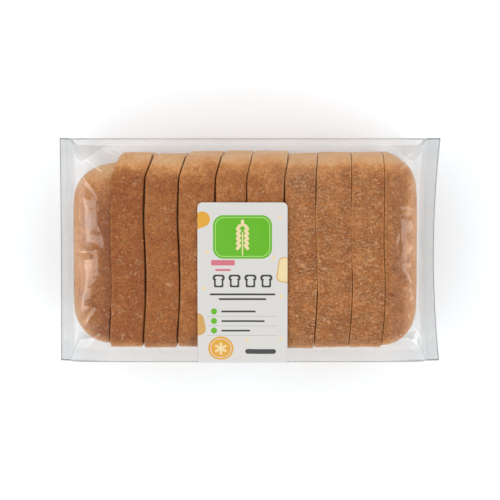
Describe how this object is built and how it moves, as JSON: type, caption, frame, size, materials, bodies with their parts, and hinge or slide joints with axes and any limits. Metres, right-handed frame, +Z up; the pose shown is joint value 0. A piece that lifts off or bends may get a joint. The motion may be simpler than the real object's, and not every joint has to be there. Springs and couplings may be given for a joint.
{
  "type": "sliced white loaf in a clear film pack",
  "caption": "Small sliced white loaf sealed in clear film, with crimped end seals, square film corners and a pale label over the top and down one side.",
  "frame": {"origin": "middle of the pack's footprint, on the surface it rests on", "axes": "+X along the loaf from one end seal to the other, +Y across it, away from the side that the label runs down, +Z up through the top crust"},
  "size_m": [0.1694, 0.1003, 0.0637],
  "materials": {
    "wrapped_loaf": "bread crust under glossy clear film, as one colour",
    "film": "clear thin film, glossy, slightly milky and creased",
    "bread": "baked bread crust, matte and finely wrinkled, with white porous crumb on the cut faces",
    "label": null
  },
  "bodies": {
    "root": {"film_bag": "wrapped_loaf", "label": "label"}
  },
  "joints": []
}
